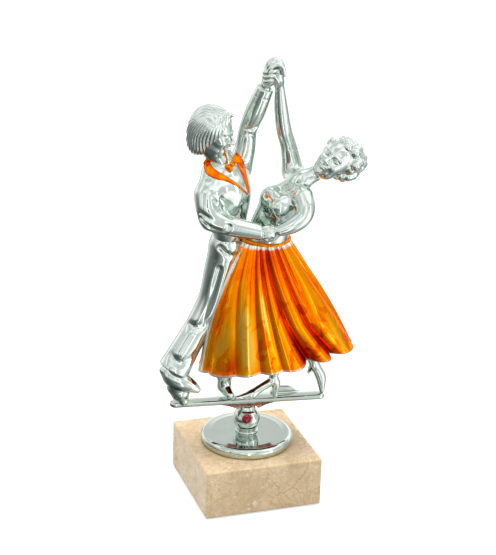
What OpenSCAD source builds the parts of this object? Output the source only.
// A figure trophy: a dancing couple moulded in plated plastic, on a round foot and a marble block.
// One stud and nut clamp the figure to the block, and the figure can be turned on that stud.

/* [Base] */
// Side of the square marble block
block_side = 50; // [46:1:70]
// Height of the marble block
block_h = 21; // [19:0.5:30]
// Chamfer along the block's edges
block_chamfer = 0.8; // [0.4:0.1:1.2]
// Thickness of the felt pad under the block
pad_h = 0.5; // [0.4:0.1:1.2]

/* [Foot] */
// Radius of the round foot
foot_r = 19.3; // [17:0.1:21]
// Height of the round foot
foot_h = 4.6; // [4.2:0.1:5]
// Radius of the ball between the foot and the stage bar
ball_r = 5.8; // [5.4:0.1:6]

/* [Figure] */
// Angle of the couple from square with the block, in degrees
figure_turn = -7; // [-30:1:30]
// Wall thickness of the skirt
skirt_wall = 1.6; // [1.2:0.1:2]
// Number of folds around the skirt
skirt_folds = 17; // [12:1:20]

/* [Hidden] */

chrome = "gainsboro";
lacquer = "darkorange";
marble = "wheat";
steel = "silver";
brass = "goldenrod";
felt = "dimgray";

// Fixing hardware: an M5 stud, nut and washers in a counterbore under the block
stud_r = 2.5;
stud_hole_r = 3;
counterbore_r = 8.5;
counterbore_h = 8;
washer_r = 7.4;
washer_h = 1;
washer_hole_r = 2.6;
lock_washer_r = 4.4;
lock_washer_h = 1.2;
nut_across_flats = 8;
nut_h = 4;
insert_r = 3.2;
insert_h = 4.4;
pad_inset = 1.6;

block_top = pad_h + block_h;
counterbore_top = pad_h + counterbore_h;

// The figure's own frame starts on top of the block, under the foot
spigot_r = 4.2;
ball_z = foot_h + ball_r - 0.2;
bar_top = 20;
bar_t = 2.2;
bar_bottom = bar_top - bar_t;
bar_half_l = 33;
bar_half_w = 2.6;

// Directions of the gentleman's chest: across the shoulders, and forward
gent_side = [0.5, 0.87, 0];
gent_front = [0.87, -0.5, 0];
gent_tilted_side = [0.48, 0.83, 0.24];

// The gentleman's joints
gent_neck = [-13.2, 0, 121];
gent_skull = [-17.2, 0.4, 134.6];
gent_right_shoulder = [-21.6, -9.6, 115.2];
gent_right_elbow = [-20.4, -12.4, 104.4];
gent_right_wrist = [-0.6, -14.4, 99];
gent_right_palm = [5.6, -13, 97.6];
gent_left_shoulder = [-4.6, 8.2, 119.2];
gent_left_elbow = [-2.4, 8, 134.6];
gent_left_cuff = [2.8, 4.2, 150.4];
gent_right_hip = [-13, 0.5, 85];
gent_right_knee = [-19.4, 0, 58];
gent_right_hem = [-31, -1, 34.6];
gent_left_hip = [-7, 4, 85];
gent_left_knee = [-8.5, 4.4, 58];
gent_left_hem = [-9.4, 3.6, 31];

// The lady's joints
lady_neck = [19.8, -3, 115];
lady_jaw = [26.6, -4, 119.4];
lady_skull = [32.2, -4, 123.2];
lady_left_shoulder = [20, -11.4, 107.4];
lady_left_elbow = [13.2, -16.2, 101.6];
lady_left_wrist = [6, -17.2, 100.4];
lady_right_shoulder = [15.6, 7.4, 115.4];
lady_right_elbow = [12.1, 6, 133.4];
lady_right_wrist = [9, 2.4, 151.6];
lady_hip = [6.5, -2, 76];
lady_standing_knee = [11, -2, 52];
lady_standing_ankle = [11, -1.5, 30.5];
lady_trailing_knee = [18, 0, 55];
lady_trailing_ankle = [28.6, 1.6, 31.5];
lady_trailing_toe = [32.2, 0, 21.6];

// The skirt: an oval at the waist and a wide tilted oval at the hem
skirt_top = [4.7, -3, 90.4];
skirt_top_r = [9.4, 7.5];
skirt_hem = [10.5, -1.6, 39.4];
skirt_hem_r = [31.2, 18.4];
skirt_slope = 0.128;
seam_left = 196;
seam_right = 352;

facets = 18;

function along(a, b, t) = a + (b - a) * t;
function around(from, to, steps) = [for (k = [0:steps]) from + (to - from) * k / steps];

// ---- shared shapes ----

module ball(p, r) {
    translate(p) sphere(r, $fn = facets);
}

// A limb: balls at its joints, each pair skinned over
module limb(joints, radii) {
    for (i = [0:len(joints) - 2]) hull() {
        ball(joints[i], radii[i]);
        ball(joints[i + 1], radii[i + 1]);
    }
}

// A closed body through oval rings; each ring is [centre, side direction, front direction, half width, half depth]
module loft(rings, n = 20) {
    points = [for (ring = rings) for (k = [0:n - 1])
        ring[0] + ring[1] * ring[3] * cos(360 * k / n) + ring[2] * ring[4] * sin(360 * k / n)];
    last = (len(rings) - 1) * n;
    sides = [for (i = [0:len(rings) - 2]) for (k = [0:n - 1])
        let (a = i * n + k, b = i * n + (k + 1) % n) each [[a, b, b + n], [a, b + n, a + n]]];
    polyhedron(points, concat([[for (k = [n - 1:-1:0]) k]], sides, [[for (k = [0:n - 1]) last + k]]));
}

// An oval ball turned to face a heading, leaning by a pitch
module oval(p, size, heading, pitch = 0) {
    translate(p) rotate([0, pitch, heading]) scale(size) sphere(1, $fn = 24);
}

module figure_frame() {
    translate([0, 0, block_top]) rotate([0, 0, figure_turn]) children();
}

// ---- base and fixing ----

module chamfered_block(side, h, c) {
    hull() {
        translate([0, 0, c + (h - 2 * c) / 2]) cube([side, side, h - 2 * c], center = true);
        translate([0, 0, h / 2]) cube([side - 2 * c, side - 2 * c, h], center = true);
    }
}

module marble_block() {
    color(marble) translate([0, 0, pad_h]) difference() {
        chamfered_block(block_side, block_h, block_chamfer);
        translate([0, 0, -1]) cylinder(h = counterbore_h + 1, r = counterbore_r, $fn = 64);
        cylinder(h = block_h + 1, r = stud_hole_r, $fn = 48);
    }
}

module felt_pad() {
    pad = block_side - 2 * (block_chamfer + pad_inset);
    color(felt) linear_extrude(pad_h) square(pad, center = true);
}

module ring_plate(outer, inner, h) {
    difference() {
        cylinder(h = h, r = outer, $fn = 48);
        translate([0, 0, -1]) cylinder(h = h + 2, r = inner, $fn = 48);
    }
}

module plain_washer() {
    color(steel) translate([0, 0, counterbore_top - washer_h]) ring_plate(washer_r, washer_hole_r, washer_h);
}

// A split spring washer: a ring with a narrow gap
module lock_washer() {
    gap = 0.9;
    color(steel) translate([0, 0, counterbore_top - washer_h - lock_washer_h]) difference() {
        ring_plate(lock_washer_r, stud_r + 0.1, lock_washer_h);
        translate([lock_washer_r / 2, 0, lock_washer_h / 2])
            cube([lock_washer_r + 2, gap, lock_washer_h + 1], center = true);
    }
}

module fixing_nut() {
    top = counterbore_top - washer_h - lock_washer_h;
    color(steel) translate([0, 0, top - nut_h]) difference() {
        cylinder(h = nut_h, r = nut_across_flats / 2 / cos(30), $fn = 6);
        translate([0, 0, -1]) cylinder(h = nut_h + 2, r = stud_r, $fn = 48);
    }
}

module stud() {
    bottom = counterbore_top - washer_h - lock_washer_h - nut_h - 0.4;
    color(steel) translate([0, 0, bottom]) cylinder(h = block_top + insert_h - bottom, r = stud_r, $fn = 48);
}

// A threaded sleeve moulded into the ball stem, which takes the stud's top end
module stem_insert() {
    color(brass) figure_frame() translate([0, 0, 0.4]) ring_plate(insert_r, stud_r, insert_h - 0.4);
}

// ---- foot, ball and stage bar ----

// The foot's outline: a flat top and a rounded rim, hollow underneath around a central boss
module foot_disc() {
    rim = 3;
    boss_r = spigot_r + 1.6;
    wall = 1.8;
    color(chrome) figure_frame() difference() {
        union() {
            rotate_extrude($fn = 96) difference() {
                union() {
                    translate([0, 0]) square([foot_r - rim, foot_h]);
                    square([foot_r, foot_h - rim]);
                    translate([foot_r - rim, foot_h - rim]) intersection() {
                        circle(rim, $fn = 48);
                        square(rim + 1);
                    }
                }
                translate([boss_r, -1]) square([foot_r - wall - boss_r - 0.6, foot_h - wall + 1]);
            }
            for (k = [0:5]) rotate([0, 0, 60 * k]) translate([boss_r - 0.4, -0.6, 0.5])
                cube([foot_r - wall - boss_r, 1.2, foot_h - 1.2]);
        }
        translate([0, 0, -1]) cylinder(h = foot_h + 2, r = spigot_r, $fn = 48);
    }
}

// Spigot, ball and neck in one turned piece, bored from below for the threaded sleeve
module ball_stem() {
    neck_r = 3.4;
    color(chrome) figure_frame() difference() {
        union() {
            translate([0, 0, 0.4]) cylinder(h = foot_h - 0.4, r = spigot_r, $fn = 48);
            translate([0, 0, ball_z]) sphere(ball_r, $fn = 64);
            translate([0, 0, foot_h - 0.01]) cylinder(h = bar_bottom - foot_h - 1, r = neck_r, $fn = 48);
        }
        cylinder(h = insert_h, r = insert_r, $fn = 48);
    }
}

// The bar that carries the feet, with the flared bracket that stands on the ball's neck
module stage_bar() {
    flare = 15;
    bracket_top = bar_bottom + 0.3;
    color(chrome) figure_frame() union() {
        translate([0, 0, bar_bottom]) linear_extrude(bar_t) hull() {
            for (x = [-1, 1]) translate([x * (bar_half_l - bar_half_w), 0]) circle(bar_half_w, $fn = 32);
            translate([0, 2]) square([24, 6], center = true);
        }
        translate([0, 2.4, 0]) rotate([90, 0, 0]) linear_extrude(4.8) difference() {
            polygon([[-flare, bracket_top], [-4, 15.8], [-3.4, bar_bottom - 1], [3.4, bar_bottom - 1],
                [4, 15.8], [flare, bracket_top]]);
            translate([0, ball_z]) circle(ball_r + 0.02, $fn = 48);
        }
        hull() {
            translate([12, 2.4, bar_top - 0.1]) cube([10, 2.4, 0.2]);
            translate([13, 2.8, bar_top + 2.4]) cube([4, 1.8, 0.2]);
        }
    }
}

// ---- the gentleman ----

module jacket_form(grow = 0) {
    loft([
        [[-9.6, 1, 85.4], gent_side, gent_front, 9 + grow, 7.6 + grow],
        [[-9.4, 1, 92.6], gent_side, gent_front, 8.4 + grow, 6.8 + grow],
        [[-10, 0.5, 103], gent_side, gent_front, 10.2 + grow, 7.8 + grow],
        [[-10.6, 0, 111.4], gent_side, gent_front, 11.8 + grow, 8.4 + grow],
        [[-12, 0, 117.2], gent_tilted_side, gent_front, 11.6 + grow, 7.2 + grow],
        [[-12.9, 0, 121.4], gent_tilted_side, gent_front, 5.6 + grow, 5 + grow]
    ], 24);
}

module gent_neck_form() {
    hull() {
        ball(gent_neck, 4);
        ball(gent_neck + [-2, 0, 7], 3.8);
    }
}

module gent_jacket() {
    color(chrome) figure_frame() difference() {
        jacket_form();
        gent_neck_form();
    }
}

// A V of two strips down the chest, half a millimetre proud of the jacket
module lapel_v() {
    translate([-10.6, 0, 0]) rotate([90, 0, 60]) linear_extrude(20) difference() {
        polygon([[-7.4, 121.6], [-6.6, 116.4], [-1.2, 107], [1.2, 107], [6, 116.4], [6.4, 122.4]]);
        polygon([[-4.6, 122.6], [-4, 117.6], [0, 110], [3.6, 117.6], [4.2, 123.4]]);
    }
}

module gent_lapels() {
    color(lacquer) figure_frame() difference() {
        intersection() {
            jacket_form(0.5);
            lapel_v();
        }
        jacket_form();
        gent_neck_form();
        raised_sleeve();
    }
}

module gent_bow_tie() {
    knot = gent_neck + gent_front * 5.6 + [0, 0, 1.4];
    color(lacquer) figure_frame() difference() {
        for (turn = [-1, 1]) hull() {
            ball(knot, 0.9);
            ball(knot + gent_side * 3.4 * turn + [0, 0, 1.3], 0.8);
            ball(knot + gent_side * 3.4 * turn - [0, 0, 1.3], 0.8);
        }
        jacket_form(0.5);
        gent_neck_form();
        gent_head_form();
    }
}

module gent_head_form() {
    difference() {
        union() {
            oval(gent_skull, [9.6, 8.4, 11], -30);
            hull() {
                ball(gent_skull + [2.4, -1, -5], 5.4);
                ball(gent_skull + [4.6, -2.6, -6.4], 3.6);
            }
        }
        translate([-40, -40, 60]) cube([80, 80, 61]);
    }
}

module gent_head() {
    color(chrome) figure_frame() union() {
        gent_head_form();
        gent_neck_form();
    }
}

module holding_sleeve() {
    limb([gent_right_shoulder, gent_right_elbow, gent_right_wrist], [5, 4.5, 3.2]);
}

module gent_holding_arm() {
    color(chrome) figure_frame() difference() {
        holding_sleeve();
        jacket_form();
    }
}

module gent_holding_hand() {
    tips = gent_right_palm + [4.4, 1.6, -0.6];
    color(chrome) figure_frame() difference() {
        hull() {
            ball(gent_right_wrist, 2.2);
            ball(gent_right_palm + [0, 0, 1.2], 1.8);
            ball(gent_right_palm - [0, 0, 1.2], 1.8);
            ball(tips, 1.3);
        }
        holding_sleeve();
        bodice_form();
        skirt_solid();
    }
}

module raised_sleeve() {
    limb([gent_left_shoulder, gent_left_elbow, gent_left_cuff], [4.9, 3.8, 3.6]);
}

module gent_raised_arm() {
    color(chrome) figure_frame() difference() {
        raised_sleeve();
        jacket_form();
        clasped_form();
    }
}

module clasped_form() {
    hull() {
        ball([4, 3.2, 154.4], 2.7);
        ball([5.4, 2.2, 160.6], 3.4);
        ball([7.6, 1.8, 161], 3.1);
        ball([8.4, 2, 155], 2.3);
    }
}

module clasped_hands() {
    color(chrome) figure_frame() clasped_form();
}

module right_leg() {
    limb([gent_right_hip, gent_right_knee, gent_right_hem], [7, 6, 5.7]);
}

module left_leg(grow = 0) {
    limb([gent_left_hip, gent_left_knee, gent_left_hem], [6.6 + grow, 5 + grow, 4.4 + grow]);
}

module right_shoe_form() {
    hull() {
        ball([-34.4, 0.6, 32.4], 3);
        ball([-31, -1, 32.6], 3.6);
    }
    hull() {
        ball([-32.4, -0.6, 31], 3.6);
        ball([-27.4, -3, 23.8], 3.9);
        ball([-24.8, -4.4, 22.6], 2.8);
    }
}

module left_shoe_form() {
    hull() {
        ball([-9.6, 3.6, 24.6], 3.4);
        ball([-9.6, 5, 22.4], 2.6);
        ball([-7.6, -1.2, 22.2], 2.4);
    }
}

module above_bar() {
    intersection() {
        children();
        translate([-60, -60, bar_top]) cube([120, 120, 200]);
    }
}

module gent_trousers() {
    color(chrome) figure_frame() difference() {
        union() {
            right_leg();
            left_leg();
        }
        jacket_form();
        right_shoe_form();
        left_shoe_form();
    }
}

module gent_right_shoe() {
    color(chrome) figure_frame() above_bar() right_shoe_form();
}

module gent_left_shoe() {
    color(chrome) figure_frame() above_bar() left_shoe_form();
}

// ---- the lady ----

module bodice_form() {
    chest_side = [0.161, -0.897, -0.417];
    chest_front = [-0.745, -0.367, 0.502];
    mid_side = [0.62, -0.72, -0.2];
    mid_front = [-0.66, -0.66, 0.3];
    union() {
        loft([
            [[4.7, -3, 88], [1, 0, 0], [0, -1, 0], 7, 5.4],
            [[4.7, -3, 91.6], [1, 0, 0], [0, -1, 0], 8.8, 7]
        ], 24);
        loft([
            [[4.8, -3, 91.4], -[0.8, -0.6, 0], [0.6, 0.8, 0], 8.6, 7.4],
            [[6.8, -3.4, 97.4], -mid_side, -mid_front, 8.4, 7.2],
            [[10.8, -3.6, 104.6], -chest_side, -chest_front, 9, 6.6],
            [[14.6, -3.2, 110], -chest_side, -chest_front, 9.8, 5.8],
            [[17.8, -2.6, 113.6], -chest_side, -chest_front, 8.4, 4],
            [[19.6, -2.8, 115.4], -chest_side, -chest_front, 3.6, 3]
        ], 24);
        ball([6, -3.4, 109.2], 4.4);
        ball([8, -9.6, 105.6], 4.6);
    }
}

module lady_neck_form() {
    hull() {
        ball(lady_neck, 3.2);
        ball(lady_jaw, 3);
    }
}

module lady_bodice() {
    color(chrome) figure_frame() difference() {
        bodice_form();
        lady_neck_form();
        jacket_form(0.3);
        holding_sleeve();
        skirt_solid();
    }
}

// The waistband: a round cord of lacquered moulding lying on the skirt's top edge
module lady_sash() {
    tube = 0.9;
    steps = 40;
    color(lacquer) figure_frame() difference() {
        loft_ring(skirt_top + [0, 0, 0.9], skirt_top_r[0] - 0.1, skirt_top_r[1] + 0.1, tube, steps);
        bodice_form();
        jacket_form();
        holding_sleeve();
        skirt_solid();
    }
}

// A closed oval ring of round section
module loft_ring(c, rx, ry, tube, steps, n = 8) {
    points = [for (i = [0:steps - 1]) for (k = [0:n - 1])
        let (a = 360 * i / steps, b = 360 * k / n)
        c + [(rx + tube * cos(b)) * cos(a), (ry + tube * cos(b)) * sin(a), tube * sin(b)]];
    sides = [for (i = [0:steps - 1]) for (k = [0:n - 1])
        let (a = i * n + k, b = i * n + (k + 1) % n, d = ((i + 1) % steps) * n)
        each [[a, b, d + (k + 1) % n], [a, d + (k + 1) % n, d + k]]];
    polyhedron(points, sides);
}

module lady_head() {
    color(chrome) figure_frame() union() {
        oval(lady_skull, [9.4, 9.2, 10.6], 0, 48);
        lady_neck_form();
    }
}

module lady_raised_arm() {
    color(chrome) figure_frame() difference() {
        limb([lady_right_shoulder, lady_right_elbow, lady_right_wrist], [4, 2.9, 2.3]);
        bodice_form();
        clasped_form();
    }
}

module lady_resting_arm() {
    color(chrome) figure_frame() difference() {
        limb([lady_left_shoulder, lady_left_elbow, lady_left_wrist, lady_left_wrist + [-4.6, 0.8, -0.2]],
            [3.9, 3.3, 2.3, 1.5]);
        bodice_form();
        holding_sleeve();
        hull() {
            ball(gent_right_wrist, 2.2);
            ball(gent_right_palm + [0, 0, 1.2], 1.8);
            ball(gent_right_palm - [0, 0, 1.2], 1.8);
            ball(gent_right_palm + [4.4, 1.6, -0.6], 1.3);
        }
    }
}

module standing_leg_form() {
    limb([lady_hip + [0, 0, 12], lady_hip], [4.6, 5.4]);
    limb([lady_hip, lady_standing_knee, lady_standing_ankle], [5.2, 3.6, 2.4]);
    hull() {
        ball(lady_standing_ankle, 2.4);
        ball([10.4, -1.5, 27], 2.6);
    }
    hull() {
        ball([10.4, -1.5, 26.4], 2.5);
        ball([2, -2, 23.6], 2.1);
    }
    hull() {
        ball([2, -2, 22.4], 2.2);
        ball([-4.4, -2.4, 21.4], 1.4);
    }
    hull() {
        ball([11.6, -1.5, 26], 2);
        ball([11.4, -1.5, 21], 1.6);
    }
}

module trailing_leg_form() {
    limb([lady_hip + [1, 1, -2], lady_trailing_knee, lady_trailing_ankle], [4.8, 3.6, 2.6]);
    hull() {
        ball(lady_trailing_ankle, 2.6);
        ball([31.6, 1, 27.6], 2.4);
        ball(lady_trailing_toe, 1.2);
    }
}

module lady_standing_leg() {
    color(chrome) figure_frame() above_bar() difference() {
        standing_leg_form();
        bodice_form();
        left_leg();
        left_shoe_form();
    }
}

module lady_trailing_leg() {
    color(chrome) figure_frame() above_bar() difference() {
        trailing_leg_form();
        standing_leg_form();
        left_leg();
    }
}

// A point of the skirt's outer surface: t runs from the waist to the hem, and depth is measured inwards.
// The folds deepen towards the hem and swing round as they fall.
function fold(a, t) = (0.25 + 1.25 * t * t) * sin(skirt_folds * (a + 14 * t * t) + 50 * sin(2 * a));
function skirt_point(a, t, depth) =
    let (out = fold(a, t) + 1.2 * sin(180 * t) - depth,
        rx = along(skirt_top_r[0], skirt_hem_r[0], t) + out,
        ry = along(skirt_top_r[1], skirt_hem_r[1], t) + out,
        c = along(skirt_top, skirt_hem, t))
    [c[0] + rx * cos(a), c[1] + ry * sin(a), c[2] + skirt_slope * rx * cos(a) * t];

// A stretch of the skirt's wall between two angles, as one closed shell
module skirt_panel(from, to, steps = 44, rows = 7) {
    outer = [for (i = [0:rows]) for (a = around(from, to, steps)) skirt_point(a, i / rows, 0)];
    inner = [for (i = [0:rows]) for (a = around(from, to, steps)) skirt_point(a, i / rows, skirt_wall)];
    w = steps + 1;
    n = len(outer);
    faces = concat(
        [for (i = [0:rows - 1]) for (k = [0:steps - 1]) let (p = i * w + k)
            each [[p, p + 1, p + w], [p + 1, p + w + 1, p + w]]],
        [for (i = [0:rows - 1]) for (k = [0:steps - 1]) let (p = n + i * w + k)
            each [[p, p + w, p + 1], [p + 1, p + w, p + w + 1]]],
        [for (k = [0:steps - 1]) each [[k, n + k, k + 1], [k + 1, n + k, n + k + 1]]],
        [for (k = [0:steps - 1]) let (p = rows * w + k) each [[p, p + 1, n + p], [p + 1, n + p + 1, n + p]]],
        [for (i = [0:rows - 1]) let (p = i * w) each [[p, p + w, n + p], [p + w, n + p + w, n + p]]],
        [for (i = [0:rows - 1]) let (p = i * w + steps) each [[p, n + p, p + w], [p + w, n + p, n + p + w]]]);
    polyhedron(concat(outer, inner), faces);
}

// The whole skirt wall, for cutting neighbours clear of it
module skirt_solid() {
    skirt_panel(seam_left, seam_right);
    skirt_panel(seam_right, seam_left + 360);
}

module skirt_front() {
    color(lacquer) figure_frame() difference() {
        skirt_panel(seam_left, seam_right);
        left_leg(0.1);
        right_leg();
        jacket_form(0.1);
    }
}

// The back shell stops short of the jacket's hip, where the two figures are moulded together
module skirt_back() {
    color(lacquer) figure_frame() difference() {
        skirt_panel(seam_right, seam_left + 360);
        left_leg(0.1);
        right_leg();
        jacket_form(0.1);
        translate([-14, -8, 84.5]) cube([12.2, 16, 8]);
    }
}

marble_block();
felt_pad();
plain_washer();
lock_washer();
fixing_nut();
stud();
stem_insert();
foot_disc();
ball_stem();
stage_bar();
gent_trousers();
gent_right_shoe();
gent_left_shoe();
gent_jacket();
gent_lapels();
gent_bow_tie();
gent_head();
gent_holding_arm();
gent_holding_hand();
gent_raised_arm();
clasped_hands();
lady_bodice();
lady_sash();
lady_head();
lady_raised_arm();
lady_resting_arm();
skirt_front();
skirt_back();
lady_standing_leg();
lady_trailing_leg();
